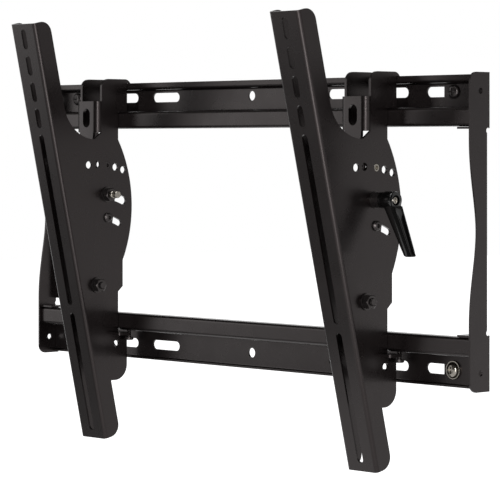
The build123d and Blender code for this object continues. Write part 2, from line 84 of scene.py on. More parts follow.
# Stretch of the patches' noise over which a finish goes from its smoothest to its roughest
GLOSS_FROM, GLOSS_TO = 0.3, 0.7

Outline = list[tuple[float, float]]
Colour = tuple[float, float, float, float]
Place = tuple[float, float, float]


def linear(code: str) -> Colour:
    """Turn an sRGB hex colour into linear light.

    Args:
        code: Colour as six hex digits.

    Returns:
        Linear red, green, blue and an alpha of 1.
    """
    values = [int(code[i:i + 2], 16) / 255 for i in (0, 2, 4)]
    return (*[v / 12.92 if v <= 0.04045 else ((v + 0.055) / 1.055) ** 2.4 for v in values], 1.0)


def node(
    tree: bpy.types.NodeTree, kind: str, links: dict | None = None, **settings: object
) -> bpy.types.Node:
    """Add one node with its settings and links.

    Args:
        tree: Tree that gets the node.
        kind: Blender's name of the node type.
        links: Input name or number, to a value or to an output socket.
        **settings: Properties of the node itself.

    Returns:
        The new node.
    """
    made = tree.nodes.new(kind)
    for name, value in settings.items():
        setattr(made, name, value)
    for name, value in (links or {}).items():
        socket = made.inputs[name]
        if isinstance(value, bpy.types.NodeSocket):
            tree.links.new(value, socket)
        else:
            socket.default_value = value
    return made


class Axis(Enum):
    """Direction in which a fastener points, as the turn from +Z."""

    X = (0.0, math.pi / 2, 0.0)
    UP = (0.0, 0.0, 0.0)
    OUT = (math.pi / 2, 0.0, 0.0)

    def matrix(self, place: Vector) -> Matrix:
        """Work out the matrix that stands a fastener in its place.

        Args:
            place: Where its first end goes, in metres.

        Returns:
            Matrix that takes it there from the origin, where it points along +Z.
        """
        turn = Matrix.Rotation(self.value[1], 4, "Y") @ Matrix.Rotation(self.value[0], 4, "X")
        return Matrix.Translation(place) @ turn


class Cut(Enum):
    """What is kept of a piece and its tool, as the boolean operation."""

    AWAY = "DIFFERENCE"
    SHARED = "INTERSECT"
    JOINED = "UNION"


@dataclass(frozen=True)
class Finish:
    """A surface finish: colour, gloss and a fine relief at a real size.

    Attributes:
        name: Name of the material.
        dark: Darker colour of its fine variation, as sRGB hex.
        light: Lighter colour of its fine variation, as sRGB hex.
        metallic: 1 for bare or plated metal, else 0.
        rough: Roughness at the smoothest and roughest spots.
        grain_mm: Size of the relief's grains.
        relief_mm: Height of the relief.
        patch_mm: Size of the larger patches of colour and gloss.
        ior: Index of refraction of a coating or a plastic.
        specular: Specular level.
        tint: Colour of the gloss on a coating or a plastic, as sRGB hex.
    """

    name: str
    dark: str
    light: str
    metallic: float
    rough: tuple[float, float]
    grain_mm: float
    relief_mm: float
    patch_mm: float
    ior: float = 1.5
    specular: float = 0.5
    tint: str = "ffffff"

    def material(self) -> bpy.types.Material:
        """Build the node material, or return it if it is there already."""
        if self.name in bpy.data.materials:
            return bpy.data.materials[self.name]
        made = bpy.data.materials.new(self.name)
        made.use_nodes = True
        tree = made.node_tree
        tree.nodes.clear()
        place = node(tree, "ShaderNodeTexCoord").outputs["Object"]
        patch = node(tree, "ShaderNodeTexNoise", {
            "Vector": place, "Scale": 1 / (self.patch_mm * MM), **PATCH_NOISE,
        }).outputs["Fac"]
        grain = node(tree, "ShaderNodeTexNoise", {
            "Vector": place, "Scale": 1 / (self.grain_mm * MM), **GRAIN_NOISE,
        }).outputs["Fac"]
        colour = node(tree, "ShaderNodeMix", data_type="RGBA")
        tree.links.new(patch, colour.inputs["Factor"])
        colour.inputs[6].default_value = linear(self.dark)
        colour.inputs[7].default_value = linear(self.light)
        smooth, rough = self.rough
        gloss = node(tree, "ShaderNodeMapRange", {
            "Value": patch, "From Min": GLOSS_FROM, "From Max": GLOSS_TO, "To Min": smooth, "To Max": rough,
        })
        relief = node(tree, "ShaderNodeBump", {
            "Height": grain, "Distance": self.relief_mm * MM, "Strength": 1.0,
        })
        shader = node(tree, "ShaderNodeBsdfPrincipled", {
            "Base Color": colour.outputs[2],
            "Metallic": self.metallic,
            "Roughness": gloss.outputs["Result"],
            "Normal": relief.outputs["Normal"],
            "IOR": self.ior,
            "Specular IOR Level": self.specular,
            "Specular Tint": linear(self.tint),
        })
        node(tree, "ShaderNodeOutputMaterial", {"Surface": shader.outputs["BSDF"]})
        return made


# Polyester powder coat on folded steel: baked on, satin, with a faint orange peel that softens reflections
POWDER_COAT = Finish(
    name="satin_powder_coat", dark="030202", light="070505", metallic=0.0, rough=(0.24, 0.32),
    grain_mm=1.6, relief_mm=0.012, patch_mm=45.0, specular=0.3, tint="fff1f0",
)
# Black oxide on machine screws: a thin dark skin on steel, about as glossy as the coat
BLACK_OXIDE = Finish(
    name="black_oxide_steel", dark="0a0909", light="121010", metallic=0.0, rough=(0.24, 0.34),
    grain_mm=0.8, relief_mm=0.008, patch_mm=6.0, specular=0.35, tint="fff3f1",
)
# Zinc plate with a thin yellow passivation: a warm grey metal with small cloudy patches
ZINC_PLATE = Finish(
    name="yellow_zinc_plate", dark="5b5851", light="96918a", metallic=1.0, rough=(0.14, 0.26),
    grain_mm=0.6, relief_mm=0.004, patch_mm=3.0,
)
# Glass-filled nylon, moulded: deep black and glossy, with a very faint texture
MOULDED_NYLON = Finish(
    name="moulded_nylon", dark="020202", light="040404", metallic=0.0, rough=(0.06, 0.1),
    grain_mm=0.7, relief_mm=0.002, patch_mm=9.0, specular=0.4,
)

SLOT_FINISH = {
    "black_steel": POWDER_COAT,
    "black_screw": BLACK_OXIDE,
    "zinc_screw": ZINC_PLATE,
    "black_plastic": MOULDED_NYLON,
}


def lathe(profile: Outline, segments: int = SMALL_ROUND) -> bmesh.types.BMesh:
    """Turn a profile about +Z into a closed mesh.

    Args:
        profile: Radius and height pairs in millimetres, from the lower end of the axis to the upper one.
        segments: Faces around the axis.

    Returns:
        The turned mesh, in metres, with outward faces.
    """
    made = bmesh.new()
    around = [(math.cos(TURN * i / segments), math.sin(TURN * i / segments)) for i in range(segments)]
    rings = []
    for radius, height in profile:
        corners = around if radius else [(0.0, 0.0)]
        rings.append([made.verts.new((radius * MM * x, radius * MM * y, height * MM)) for x, y in corners])
    for low, high in zip(rings, rings[1:]):
        for i in range(segments):
            j = (i + 1) % segments
            corners = [low[i % len(low)], low[j % len(low)], high[j % len(high)], high[i % len(high)]]
            made.faces.new(list(dict.fromkeys(corners)))
    bmesh.ops.recalc_face_normals(made, faces=made.faces[:])
    return made


def prism(outline: Outline, low: float, high: float) -> bmesh.types.BMesh:
    """Raise a flat outline along +Z into a closed mesh.

    Args:
        outline: Corners in millimetres, in order round the outline.
        low: Height of its lower end, in millimetres.
        high: Height of its upper end, in millimetres.

    Returns:
        The prism, in metres, with outward faces.
    """
    made = bmesh.new()
    lower, upper = ([made.verts.new((x * MM, y * MM, z * MM)) for x, y in outline] for z in (low, high))
    made.faces.new(lower)
    made.faces.new(upper)
    for i in range(len(outline)):
        j = (i + 1) % len(outline)
        made.faces.new((lower[i], lower[j], upper[j], upper[i]))
    bmesh.ops.recalc_face_normals(made, faces=made.faces[:])
    return made


def cylinder(radius: float, low: float, high: float) -> bmesh.types.BMesh:
    """Turn a plain cylinder about +Z.

    Args:
        radius: Radius, in millimetres.
        low: Height of its lower end, in millimetres.
        high: Height of its upper end, in millimetres.

    Returns:
        The cylinder, in metres.
    """
    return lathe([(0, low), (radius, low), (radius, high), (0, high)])


def new_object(name: str, shape: bmesh.types.BMesh) -> bpy.types.Object:
    """Turn a bmesh into an object of the scene.

    Args:
        name: Name of the object.
        shape: Mesh, which is freed.

    Returns:
        The new object, at the origin.
    """
    mesh = bpy.data.meshes.new(name)
    shape.to_mesh(mesh)
    shape.free()
    made = bpy.data.objects.new(name, mesh)
    bpy.context.scene.collection.objects.link(made)
    return made


def plain_mesh(piece: bpy.types.Object) -> bpy.types.Object:
    """Turn a piece's modifiers into its own mesh.

    Args:
        piece: Object with live modifiers.

    Returns:
        The same object, with a plain mesh and no modifier.
    """
    shown = piece.evaluated_get(bpy.context.evaluated_depsgraph_get())
    mesh = bpy.data.meshes.new_from_object(shown)
    mesh.name = piece.name
    piece.modifiers.clear()
    piece.data = mesh
    return piece


def carve(piece: bpy.types.Object, tool: bpy.types.Object, cut: Cut = Cut.AWAY) -> bpy.types.Object:
    """Cut a piece with a tool, keep what the two share, or join them.

    Args:
        piece: Object that is cut.
        tool: Closed object that cuts it, which is removed.
        cut: What is kept.

    Returns:
        The cut piece, as a plain mesh.
    """
    live = piece.modifiers.new("carve", "BOOLEAN")
    live.operation = cut.value
    live.solver = "EXACT"
    live.object = tool
    plain_mesh(piece)
    bpy.data.objects.remove(tool)
    return piece


def smooth_by_angle(piece: bpy.types.Object, degrees: float = TURNED_EDGE) -> None:
    """Shade a piece smooth, with hard edges where its faces meet at more than an angle.

    Args:
        piece: Mesh object.
        degrees: Smallest angle of a hard edge.
    """
    piece.data.shade_smooth()
    piece.data.set_sharp_from_angle(angle=math.radians(degrees))


class GroupTree:
    """A Geometry Nodes tree with named inputs."""

    def __init__(self, name: str, inputs: dict[str, str]) -> None:
        """Make the tree with a geometry in and out and the given inputs.

        Args:
            name: Name of the tree.
            inputs: Input name to socket type.
        """
        self.tree = bpy.data.node_groups.new(name, "GeometryNodeTree")
        face = self.tree.interface
        face.new_socket("Geometry", in_out="INPUT", socket_type="NodeSocketGeometry")
        self.keys = {
            label: face.new_socket(label, in_out="INPUT", socket_type=kind).identifier
            for label, kind in inputs.items()
        }
        face.new_socket("Geometry", in_out="OUTPUT", socket_type="NodeSocketGeometry")
        self.entry = self.tree.nodes.new("NodeGroupInput").outputs

    def close(self, instances: bpy.types.NodeSocket) -> None:
        """End the tree in realized geometry with its finish.

        Args:
            instances: Output that holds the instances.
        """
        real = node(self.tree, "GeometryNodeRealizeInstances", {"Geometry": instances})
        dressed = node(self.tree, "GeometryNodeSetMaterial", {
            "Geometry": real.outputs[0], "Material": self.entry["Material"],
        })
        node(self.tree, "NodeGroupOutput", {"Geometry": dressed.outputs[0]})

    def on_points(self, name: str, places: list[Vector], values: dict[str, object]) -> bpy.types.Object:
        """Run the tree on a set of points.

        Args:
            name: Name of the piece.
            places: Points in metres.
            values: Input name to value.

        Returns:
            The piece as a plain mesh.
        """
        mesh = bpy.data.meshes.new(name)
        mesh.from_pydata([tuple(p) for p in places], [], [])
        piece = bpy.data.objects.new(name, mesh)
        bpy.context.scene.collection.objects.link(piece)
        live = piece.modifiers.new("repeat", "NODES")
        live.node_group = self.tree
        for label, value in values.items():
            live[self.keys[label]] = value
        return plain_mesh(piece)


def thread_tree(faces: int = 28, ridge_corners: int = 3) -> GroupTree:
    """Make the tree that stands a threaded rod on each point: a core with a ridge wound round it.

    Args:
        faces: Faces round the core, and steps of the ridge in one turn.
        ridge_corners: Corners of the ridge's section.

    Returns:
        The tree.
    """
    made = GroupTree("threaded_rod", {
        "Radius": "NodeSocketFloat", "Depth": "NodeSocketFloat", "Pitch": "NodeSocketFloat",
        "Length": "NodeSocketFloat", "Turn": "NodeSocketRotation", "Material": "NodeSocketMaterial",
    })
    tree, entry = made.tree, made.entry
    core = node(tree, "ShaderNodeMath", {0: entry["Radius"], 1: entry["Depth"]}, operation="SUBTRACT")
    turns = node(tree, "ShaderNodeMath", {0: entry["Length"], 1: entry["Pitch"]}, operation="DIVIDE")
    half = node(tree, "ShaderNodeMath", {0: entry["Length"], 1: 0.5}, operation="MULTIPLY")
    middle = node(tree, "ShaderNodeCombineXYZ", {"Z": half.outputs[0]})
    rod = node(tree, "GeometryNodeMeshCylinder", {
        "Vertices": faces, "Radius": core.outputs[0], "Depth": entry["Length"],
    })
    stood = node(tree, "GeometryNodeTransform", {
        "Geometry": rod.outputs["Mesh"], "Translation": middle.outputs[0],
    })
    helix = node(tree, "GeometryNodeCurveSpiral", {
        "Resolution": faces, "Rotations": turns.outputs[0], "Start Radius": core.outputs[0],
        "End Radius": core.outputs[0], "Height": entry["Length"],
    })
    ridge = node(tree, "GeometryNodeCurvePrimitiveCircle", {
        "Resolution": ridge_corners, "Radius": entry["Depth"],
    })
    wound = node(tree, "GeometryNodeCurveToMesh", {
        "Curve": helix.outputs[0], "Profile Curve": ridge.outputs[0], "Fill Caps": True,
    })
    whole = node(tree, "GeometryNodeJoinGeometry")
    tree.links.new(stood.outputs[0], whole.inputs[0])
    tree.links.new(wound.outputs[0], whole.inputs[0])
    spread = node(tree, "GeometryNodeInstanceOnPoints", {
        "Points": entry["Geometry"], "Instance": whole.outputs[0], "Rotation": entry["Turn"],
    })
    made.close(spread.outputs[0])
    return made


def copy_tree() -> GroupTree:
    """Make the tree that stands a copy of a pattern object on each point."""
    made = GroupTree("repeated_fastener", {
        "Pattern": "NodeSocketObject", "Turn": "NodeSocketRotation", "Material": "NodeSocketMaterial",
    })
    tree, entry = made.tree, made.entry
    pattern = node(tree, "GeometryNodeObjectInfo", {"Object": entry["Pattern"]})
    spread = node(tree, "GeometryNodeInstanceOnPoints", {
        "Points": entry["Geometry"], "Instance": pattern.outputs["Geometry"], "Rotation": entry["Turn"],
    })
    made.close(spread.outputs[0])
    return made


def dress(piece: bpy.types.Object, slot: str) -> bpy.types.Object:
    """Give a piece the finish of a material slot and soft shading.

    Args:
        piece: Plain mesh object.
        slot: Material slot of the record.

    Returns:
        The same piece.
    """
    piece.data.materials.clear()
    piece.data.materials.append(SLOT_FINISH[slot].material())
    smooth_by_angle(piece)
    return piece


def settle(piece: bpy.types.Object, body: str, slot: str, *nodes: str) -> None:
    """Ride a finished piece on its body, and hide the solids that it stands for.

    Args:
        piece: Finished piece.
        body: Body that carries it.
        slot: Material slot that it takes its finish from. It is not used.
        *nodes: Solids that it replaces.
    """
    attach(piece, body)
    if nodes:
        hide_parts(*nodes)
    LOG.info("%s on %s", piece.name, body)


class Recess(Enum):
    """Driver recess in the end of a screw, as the corners of its outline in millimetres."""

    CROSS = (
        (3.2, -0.7), (3.2, 0.7), (0.7, 0.7), (0.7, 3.2), (-0.7, 3.2), (-0.7, 0.7),
        (-3.2, 0.7), (-3.2, -0.7), (-0.7, -0.7), (-0.7, -3.2), (0.7, -3.2), (0.7, -0.7),
    )
    HEXAGON = tuple((2.3 * math.cos(TURN * i / 6), 2.3 * math.sin(TURN * i / 6)) for i in range(6))

    def tool(self, end: float, depth: float, size: float = 1.0) -> bpy.types.Object:
        """Make the tool that cuts the recess.

        Args:
            end: Height of the screw's end, in millimetres.
            depth: Depth of the recess, in millimetres.
            size: Scale of the outline.

        Returns:
            The tool, along +Z.
        """
        outline = [(x * size, y * size) for x, y in self.value]
        return new_object("recess_tool", prism(outline, end - depth, end + OVERRUN))


class Turned(Enum):
    """Turned outline of a screw, as radius and height in millimetres from its first end."""

    BOLT_HEAD = ((0, 0), (6.5, 0), (7.5, 1), (7.5, 4), (0, 4))
    LOCK_SCREW = ((0, 0), (5, 0), (6, 1), (6, 3), (3.94, 3), (3.94, 5.6), (3.6, 6), (0, 6))
    LATCH_HEAD = ((0, 0), (4.25, 0), (5, 0.75), (5, 3), (0, 3))
    CAP_SCREW = ((0, 0), (2, 0), (2, 7.3), (3.6, 7.3), (3.6, 8.9), (3.1, 9.5), (2.2, 9.7), (0, 9.7))


@dataclass(frozen=True)
class Thread:
    """A screw thread, with its sizes in millimetres.

    Attributes:
        begin: Height above the screw's first end where it begins. It runs to the solid's last end.
        radius: Outer radius.
        depth: Height of the ridge.
        pitch: Rise in one turn.
    """

    begin: float
    radius: float
    depth: float
    pitch: float


BOLT_THREAD = Thread(begin=4.0, radius=4.0, depth=0.5, pitch=1.25)
LATCH_THREAD = Thread(begin=3.0, radius=2.5, depth=0.32, pitch=0.8)


@dataclass
class Screw:
    """A turned screw that takes the place of a plain solid, with a recess and a thread where they show.

    Attributes:
        solid: Solid that it stands for.
        body: Body that carries it.
        slot: Material slot.
        axis: Direction from its first end to its last one.
        shape: Its turned outline.
        recess: Driver recess in its last end.
        recess_depth: Depth of the recess, in millimetres.
        recess_size: Scale of the recess.
        thread: Thread that is wound on the rest of its length.
    """

    solid: str
    body: str
    slot: str
    axis: Axis
    shape: Turned
    recess: Recess | None = None
    recess_depth: float = 2.0
    recess_size: float = 1.0
    thread: Thread | None = None

    def base(self) -> tuple[Vector, float]:
        """Find the first end on the axis, and the length of the solid along it in millimetres."""
        low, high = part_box(self.solid)
        start = (low + high) / 2
        along = 0 if self.axis is Axis.X else 2
        start[along] = low[along]
        return start, (high[along] - low[along]) / MM

    def build(self, threads: GroupTree) -> None:
        """Make the screw and put it on its body.

        Args:
            threads: Tree that makes the thread.
        """
        start, length = self.base()
        profile = list(self.shape.value)
        piece = new_object(f"{self.solid}_turned", lathe(profile))
        if self.recess:
            end = profile[-1][1]
            carve(piece, self.recess.tool(end, self.recess_depth, self.recess_size))
        piece.data.transform(self.axis.matrix(start))
        settle(dress(piece, self.slot), self.body, self.slot, self.solid)
        if self.thread:
            self.wind(threads, start, length)

    def wind(self, threads: GroupTree, start: Vector, length: float) -> None:
        """Wind the thread on the screw.

        Args:
            threads: Tree that makes the thread.
            start: First end of the screw, in metres.
            length: Length of the whole screw, in millimetres.
        """
        turn = self.axis.matrix(Vector())
        place = start + turn @ Vector((0, 0, self.thread.begin * MM))
        wound = threads.on_points(f"{self.solid}_thread", [place], {
            "Radius": self.thread.radius * MM,
            "Depth": self.thread.depth * MM,
            "Pitch": self.thread.pitch * MM,
            "Length": (length - self.thread.begin) * MM,
            "Turn": tuple(turn.to_euler()),
            "Material": SLOT_FINISH[self.slot].material(),
        })
        smooth_by_angle(wound, THREAD_EDGE)
        settle(wound, self.body, self.slot)


@dataclass
class HexNut:
    """A hexagon nut with turned corners, along X.

    Attributes:
        solid: Solid that it stands for.
        body: Body that carries it.
        lean: Turn of its corners about X, in degrees.
        flats: Distance across its flats, in millimetres.
        bore: Radius of its hole, in millimetres.
        face_share: Radius of its round end face, as a share of the distance across its flats.
        shoulder: Height over which its corners are turned off at each end, in millimetres.
        slot: Material slot.
    """

    solid: str
    body: str
    lean: float = 0.0
    flats: float = 13.0
    bore: float = 4.06
    face_share: float = 0.48
    shoulder: float = 0.9
    slot: str = "black_screw"

    def build(self) -> None:
        """Make the nut and put it on its body."""
        low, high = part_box(self.solid)
        start = (low + high) / 2
        start.x = low.x
        height = (high.x - low.x) / MM
        tip, face = self.flats / math.sqrt(3), self.flats * self.face_share
        first = math.pi / 2 + math.radians(self.lean)
        angles = [first + TURN * i / 6 for i in range(6)]
        corners = [(tip * math.cos(angle), tip * math.sin(angle)) for angle in angles]
        turned = [
            (0, 0), (face, 0), (tip, self.shoulder), (tip, height - self.shoulder), (face, height), (0, height),
        ]
        piece = new_object(f"{self.solid}_turned", prism(corners, 0, height))
        carve(piece, new_object("corner_tool", lathe(turned, LARGE_ROUND)), Cut.SHARED)
        carve(piece, new_object("bore_tool", cylinder(self.bore, -OVERRUN, height + OVERRUN)))
        piece.data.transform(Axis.X.matrix(start))
        settle(dress(piece, self.slot), self.body, self.slot, self.solid)


# A pan head's dome, as shares of the head's radius and height
PAN_DOME = ((1.0, 0.0), (1.0, 0.3), (0.96, 0.52), (0.84, 0.76), (0.66, 0.92), (0.4, 1.0), (0.0, 1.0))
# The rim of a washer flange, as shares of the flange's radius and height
FLANGE_RIM = ((1.0, 0.0), (1.0, 0.6), (0.95, 1.0), (0.86, 1.0))
# Where the flange's dish meets the head, as shares of the head's radius and the flange's height
DISH_FOOT = (1.04, 0.45)


@dataclass
class FrameScrews:
    """The pan head screws that hold the rails to the end brackets.

    The upper ones are black. The lower ones are plated and have a washer flange under the head.

    Attributes:
        head_radius: Radius of the head, in millimetres.
        head_height: Height of the head, in millimetres.
        shank_radius: Radius of the shank, in millimetres.
        flange_radius: Radius of the washer flange, in millimetres.
        flange_height: Height of the washer flange, in millimetres.
        recess_depth: Depth of the driver recess, in millimetres.
        recess_size: Scale of the driver recess.
        solid: Solid that they stand for.
    """

    head_radius: float = 7.0
    head_height: float = 3.4
    shank_radius: float = 3.0
    flange_radius: float = 9.5
    flange_height: float = 2.0
    recess_depth: float = 2.2
    recess_size: float = 1.15
    solid: str = "frame_screws"

    def outline(self, shank: float, flange: float) -> Outline:
        """Work out one screw's turned outline.

        Args:
            shank: Length of the shank, in millimetres.
            flange: Height of the washer flange under the head, or 0 for none.

        Returns:
            Radius and height pairs in millimetres, with the seat at height 0.
        """
        turned = [(0, -shank), (self.shank_radius, -shank), (self.shank_radius, 0)]
        dome = PAN_DOME
        if flange:
            turned += [(self.flange_radius * across, flange * up) for across, up in FLANGE_RIM]
            turned.append((self.head_radius * DISH_FOOT[0], flange * DISH_FOOT[1]))
            dome = PAN_DOME[1:]
        return turned + [(self.head_radius * across, self.head_height * up + flange) for across, up in dome]

    def build(self, copies: GroupTree) -> None:
        """Make the upper and the lower screw, and stand a copy of each at both ends of its rail.

        Args:
            copies: Tree that repeats a pattern on points.
        """
        low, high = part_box(self.solid)
        shank = (high.y - low.y) / MM - self.head_height - self.flange_height
        across = high.x - self.flange_radius * MM
        rise = high.z - self.head_radius * MM
        seat = high.y - shank * MM
        rows = (("upper", rise, 0.0, "black_screw"), ("lower", -rise, self.flange_height, "zinc_screw"))
        for row, z, flange, slot in rows:
            pattern = new_object("frame_screw_pattern", lathe(self.outline(shank, flange), LARGE_ROUND))
            end = self.head_height + flange
            carve(pattern, Recess.CROSS.tool(end, self.recess_depth, self.recess_size))
            smooth_by_angle(pattern)
            places = [Vector((x, seat, z)) for x in (-across, across)]
            piece = copies.on_points(f"{row}_frame_screws", places, {
                "Pattern": pattern, "Turn": Axis.OUT.value, "Material": SLOT_FINISH[slot].material(),
            })
            bpy.data.objects.remove(pattern)
            settle(piece, "wall_frame", slot, *([self.solid] if flange else []))


class Side(Enum):
    """A tilt bracket: its name, and how far it leans out at rest in degrees."""

    RIGHT = ("right", 13.5)
    LEFT = ("left", 12.4)


@dataclass
class TiltFasteners:
    """Bolts, nuts and screws of one tilt bracket.

    Attributes:
        side: Which tilt bracket.
        cap_recess_depth: Depth of the recess in the lever's retaining screw, in millimetres.
        cap_recess_size: Scale of that recess.
    """

    side: Side
    cap_recess_depth: float = 1.3
    cap_recess_size: float = 0.7

    def build(self, threads: GroupTree) -> None:
        """Make the fasteners of this bracket.

        Args:
            threads: Tree that makes the threads.
        """
        name, lean = self.side.value
        hook, tilt, latch = f"{name}_hook", f"{name}_tilt", f"{name}_latch"
        lock_slot = "zinc_screw" if self.side is Side.RIGHT else "black_screw"
        Screw(
            f"{name}_pivot_bolt", hook, "black_screw", Axis.X, Turned.BOLT_HEAD, thread=BOLT_THREAD,
        ).build(threads)
        HexNut(f"{name}_pivot_nut", hook).build()
        Screw(
            f"{name}_lock_screw", hook, lock_slot, Axis.X, Turned.LOCK_SCREW, Recess.HEXAGON,
        ).build(threads)
        Screw(
            f"{name}_latch_screw", latch, "black_screw", Axis.UP, Turned.LATCH_HEAD, thread=LATCH_THREAD,
        ).build(threads)
        if self.side is Side.LEFT:
            Screw(
                "left_clamp_bolt", tilt, "zinc_screw", Axis.X, Turned.BOLT_HEAD, thread=BOLT_THREAD,
            ).build(threads)
            HexNut("left_clamp_nut", tilt, lean).build()
        else:
            Screw(
                "right_lever_screw", "clamp_insert", "zinc_screw", Axis.X, Turned.CAP_SCREW, Recess.CROSS,
                self.cap_recess_depth, self.cap_recess_size,
            ).build(threads)


def ramp(value: float, start: float, length: float) -> float:
    """Rise from 0 to 1 along a stretch.

    Args:
        value: Where to look.
        start: Where the rise begins.
        length: Length of the rise, negative if it runs backwards.

    Returns:
        0 before the stretch, 1 after it and a share of it in between.
    """
    return min(1.0, max(0.0, (value - start) / length))


# Slope of the lever's rim: share of the groove's depth at its shoulder, and share of its width at its crest
RIM_SHOULDER, RIM_CREST = 0.15, 0.5
# Points of the lever's rounded edges, as shares of the rounding: the crown's drop and reach, and the middle
CROWN_DROP, CROWN_REACH, EDGE_MIDDLE = 0.08, 0.4, 0.3


@dataclass
class ClampLever:
    """The moulded clamp lever: a hub with a bored eye, and an arm with a rim along each edge of its outer face.

    All sizes are in millimetres. Widths are across the arm, and heights run out along the clamp's axis.
    Places along the arm are shares of its length.

    Attributes:
        solid: Solid that it stands for.
        slot: Material slot.
        hub_radius: Radius of the hub.
        hub_length: Length of the hub with its eye.
        hub_chamfer: Chamfer at the hub's foot.
        socket_radius: Radius of the socket in the hub's foot.
        socket_depth: Depth of the socket.
        eye_radius: Radius of the eye.
        eye_length: Length of the eye.
        eye_round: Rounding of the eye's rim.
        eye_middle: How far the middle of that rounding lies from the corner.
        neck: Points where the hub runs out into the eye, from the hub's side and the eye's start.
        neck_end: Height above the eye's start where it has its full radius.
        cap_radius: Radius of the bore for the retaining screw's head.
        cap_depth: Depth of that bore.
        screw_radius: Radius of the bore for the retaining screw's shank.
        arm_root: Thickness of the arm at the clamp's axis.
        arm_drop: Length of the arm, downwards.
        arm_reach: How far the inner face runs out along the arm.
        arm_thickness: Thickness of the arm at its tip.
        arm_start: How far below the clamp's axis the arm begins.
        root_width: Width of the arm at the clamp's axis.
        tip_width: Width of the arm at its tip.
        tip_start: Place where the tip's rounding begins.
        tip_inset: How far the tip's end is drawn in.
        edge: Rounding of the arm's edges.
        rim: Width of the rim's slope.
        groove: Depth of the face between the rims.
        groove_from: Place where the groove begins.
        groove_opens: Length over which it gets its depth.
        groove_to: Place where the groove ends.
        groove_closes: Length over which it loses its depth.
        steps: Cross sections along the arm.
    """

    solid: str = "right_lever"
    slot: str = "black_plastic"
    hub_radius: float = 8.2
    hub_length: float = 18.5
    hub_chamfer: float = 0.5
    socket_radius: float = 6.06
    socket_depth: float = 8.5
    eye_radius: float = 9.0
    eye_length: float = 13.0
    eye_round: float = 1.2
    eye_middle: float = 0.35
    neck: tuple[tuple[float, float], ...] = ((0.0, -1.2), (0.2, -0.4))
    neck_end: float = 0.6
    cap_radius: float = 5.2
    cap_depth: float = 7.0
    screw_radius: float = 2.06
    arm_root: float = 14.0
    arm_drop: float = 55.0
    arm_reach: float = 29.0
    arm_thickness: float = 8.5
    arm_start: float = 5.7
    root_width: float = 15.0
    tip_width: float = 9.5
    tip_start: float = 0.985
    tip_inset: float = 0.9
    edge: float = 1.3
    rim: float = 1.5
    groove: float = 1.0
    groove_from: float = 0.2
    groove_opens: float = 0.1
    groove_to: float = 0.97
    groove_closes: float = 0.05
    steps: int = 14

    def section(self, along: float, inset: float) -> list[Place]:
        """Work out one cross section of the arm.

        Args:
            along: Place along the arm, 0 at the clamp's axis and 1 at the tip.
            inset: How far the section is drawn in all round.

        Returns:
            Points out along the axis, across the arm and up, from the end of the hub and its axis.
        """
        inner = -self.arm_root + self.arm_reach * along + inset
        outer = (self.arm_reach + self.arm_thickness - self.arm_root) * along - inset
        half = (self.root_width + (self.tip_width - self.root_width) * along) / 2 - inset
        opened = ramp(along, self.groove_from, self.groove_opens)
        deep = self.groove * opened * ramp(along, self.groove_to, -self.groove_closes)
        flat, edge, rim = half - self.edge, self.edge, self.rim
        middle = EDGE_MIDDLE * edge
        side = [
            (outer - deep, flat - 2 * rim),
            (outer - RIM_SHOULDER * deep, flat - rim),
            (outer, flat - RIM_CREST * rim),
            (outer - CROWN_DROP * edge, flat + CROWN_REACH * edge),
            (outer - middle, half - middle),
            (outer - edge, half),
            (inner + edge, half),
            (inner + middle, half - middle),
            (inner, flat),
        ]
        whole = side + [(x, -y) for x, y in reversed(side)]
        return [(x, y, -self.arm_drop * along) for x, y in whole]

    def arm(self) -> bmesh.types.BMesh:
        """Loft the arm through its cross sections, in millimetres."""
        first = self.arm_start / self.arm_drop
        places = [first + (self.tip_start - first) * i / self.steps for i in range(self.steps + 1)]
        stops = [(place, 0.0) for place in places] + [(1.0, self.tip_inset)]
        made = bmesh.new()
        rings = [[made.verts.new(point) for point in self.section(*stop)] for stop in stops]
        for upper, lower in zip(rings, rings[1:]):
            for i in range(len(upper)):
                j = (i + 1) % len(upper)
                made.faces.new((upper[i], upper[j], lower[j], lower[i]))
        made.faces.new(rings[0])
        made.faces.new(rings[-1])
        bmesh.ops.recalc_face_normals(made, faces=made.faces[:])
        return made

    def hub(self) -> bmesh.types.BMesh:
        """Turn the hub with its eye, from its foot along +Z."""
        hub, eye, end = self.hub_radius, self.eye_radius, self.hub_length
        step = end - self.eye_length
        foot = [(0, 0), (hub - self.hub_chamfer, 0), (hub, self.hub_chamfer)]
        neck = [(hub + out, step + up) for out, up in self.neck]
        rim = [
            (eye, step + self.neck_end), (eye, end - self.eye_round),
            (eye - self.eye_middle, end - self.eye_middle), (eye - self.eye_round, end), (0, end),
        ]
        return lathe(foot + neck + rim, HUB_ROUND)

    def build(self) -> None:
        """Make the lever and put it on its body."""
        low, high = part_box(self.solid)
        end = self.hub_length
        outer_end = Vector((low.x + end * MM, (low.y + high.y) / 2, high.z - self.eye_radius * MM))
        stand = Axis.X.matrix(outer_end - Vector((end * MM, 0, 0)))
        piece = new_object("clamp_lever_moulding", self.hub())
        piece.data.transform(stand)
        arm = new_object("lever_arm_tool", self.arm())
        arm.data.transform(Matrix.Translation(outer_end) @ Matrix.Scale(MM, 4))
        carve(piece, arm, Cut.JOINED)
        bores = (
            (self.socket_radius, -OVERRUN, self.socket_depth),
            (self.screw_radius, 0.0, end),
            (self.cap_radius, end - self.cap_depth, end + OVERRUN),
        )
        for bore in bores:
            tool = new_object("lever_bore_tool", cylinder(*bore))
            tool.data.transform(stand)
            carve(piece, tool)
        settle(dress(piece, self.slot), "clamp_lever", self.slot, self.solid)


